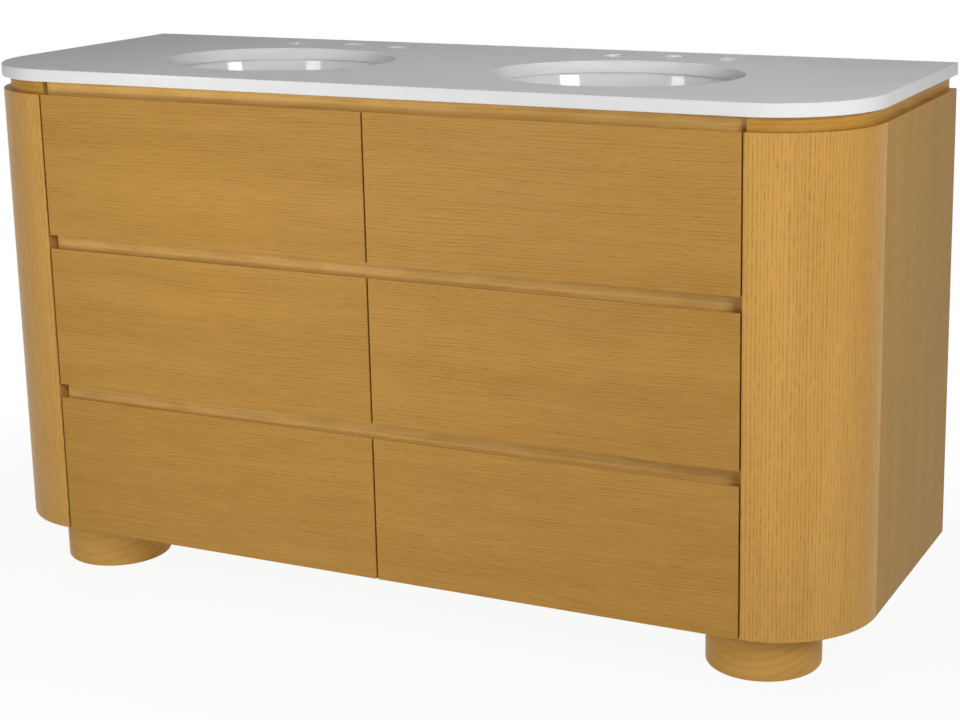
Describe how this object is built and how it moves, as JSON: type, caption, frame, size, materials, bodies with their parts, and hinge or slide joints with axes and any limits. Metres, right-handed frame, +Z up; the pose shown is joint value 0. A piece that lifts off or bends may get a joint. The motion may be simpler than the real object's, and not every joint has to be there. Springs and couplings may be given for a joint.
{
  "type": "double bathroom vanity",
  "caption": "Wide oak vanity cabinet with rounded front corners, handle-free drawers with finger channels, drum feet and a stone top with oval undermount bowls.",
  "frame": {"origin": "on the floor under the middle of the plan", "axes": "+X to the right seen from the front, -Y to the front, +Z up"},
  "size_m": [1.524, 0.559, 0.864],
  "materials": {
    "oak_front": "satin lacquer, grain across",
    "oak_upright": "satin lacquer, grain upright",
    "oak_rail": "satin lacquer, pale straight grain",
    "oak_foot": "satin lacquer, turned",
    "plywood": "sealed plywood",
    "drawer_wood": "clear lacquered birch",
    "quartz": "polished white quartz",
    "glaze": "gloss white glaze",
    "steel": "zinc plated",
    "pad": "dark rubber"
  },
  "bodies": {
    "cabinet": {"countertop": "quartz", "left_sink": "glaze", "right_sink": "glaze", "left_sink_clips": "steel", "right_sink_clips": "steel", "left_end_panel": "oak_upright", "right_end_panel": "oak_upright", "left_corner_ribs": "plywood", "right_corner_ribs": "plywood", "left_upright": "plywood", "right_upright": "plywood", "centre_divider": "plywood", "floor_panel": "plywood", "top_front_rail": "oak_rail", "upper_channel_rail": "oak_rail", "lower_channel_rail": "oak_rail", "upper_back_rail": "plywood", "lower_back_rail": "plywood", "left_back_stile": "plywood", "right_back_stile": "plywood", "front_left_foot": "oak_foot", "front_right_foot": "oak_foot", "rear_left_foot": "oak_foot", "rear_right_foot": "oak_foot", "foot_pads": "pad", "upper_left_runner_channels": "steel", "upper_right_runner_channels": "steel", "middle_left_runner_channels": "steel", "middle_right_runner_channels": "steel", "lower_left_runner_channels": "steel", "lower_right_runner_channels": "steel"},
    "upper_left_drawer": {"upper_left_drawer_front": "oak_front", "upper_left_drawer_box": "drawer_wood", "upper_left_drawer_bottom": "drawer_wood", "upper_left_drawer_runner_bars": "steel"},
    "upper_right_drawer": {"upper_right_drawer_front": "oak_front", "upper_right_drawer_box": "drawer_wood", "upper_right_drawer_bottom": "drawer_wood", "upper_right_drawer_runner_bars": "steel"},
    "middle_left_drawer": {"middle_left_drawer_front": "oak_front", "middle_left_drawer_box": "drawer_wood", "middle_left_drawer_bottom": "drawer_wood", "middle_left_drawer_runner_bars": "steel"},
    "middle_right_drawer": {"middle_right_drawer_front": "oak_front", "middle_right_drawer_box": "drawer_wood", "middle_right_drawer_bottom": "drawer_wood", "middle_right_drawer_runner_bars": "steel"},
    "lower_left_drawer": {"lower_left_drawer_front": "oak_front", "lower_left_drawer_box": "drawer_wood", "lower_left_drawer_bottom": "drawer_wood", "lower_left_drawer_runner_bars": "steel"},
    "lower_right_drawer": {"lower_right_drawer_front": "oak_front", "lower_right_drawer_box": "drawer_wood", "lower_right_drawer_bottom": "drawer_wood", "lower_right_drawer_runner_bars": "steel"}
  },
  "joints": [
    {"name": "upper_left_drawer_slide", "type": "slide", "parent": "cabinet", "child": "upper_left_drawer", "axis": [0, -1, 0], "range_m": [0, 0.34]},
    {"name": "upper_right_drawer_slide", "type": "slide", "parent": "cabinet", "child": "upper_right_drawer", "axis": [0, -1, 0], "range_m": [0, 0.34]},
    {"name": "middle_left_drawer_slide", "type": "slide", "parent": "cabinet", "child": "middle_left_drawer", "axis": [0, -1, 0], "range_m": [0, 0.34]},
    {"name": "middle_right_drawer_slide", "type": "slide", "parent": "cabinet", "child": "middle_right_drawer", "axis": [0, -1, 0], "range_m": [0, 0.34]},
    {"name": "lower_left_drawer_slide", "type": "slide", "parent": "cabinet", "child": "lower_left_drawer", "axis": [0, -1, 0], "range_m": [0, 0.34]},
    {"name": "lower_right_drawer_slide", "type": "slide", "parent": "cabinet", "child": "lower_right_drawer", "axis": [0, -1, 0], "range_m": [0, 0.34]}
  ]
}
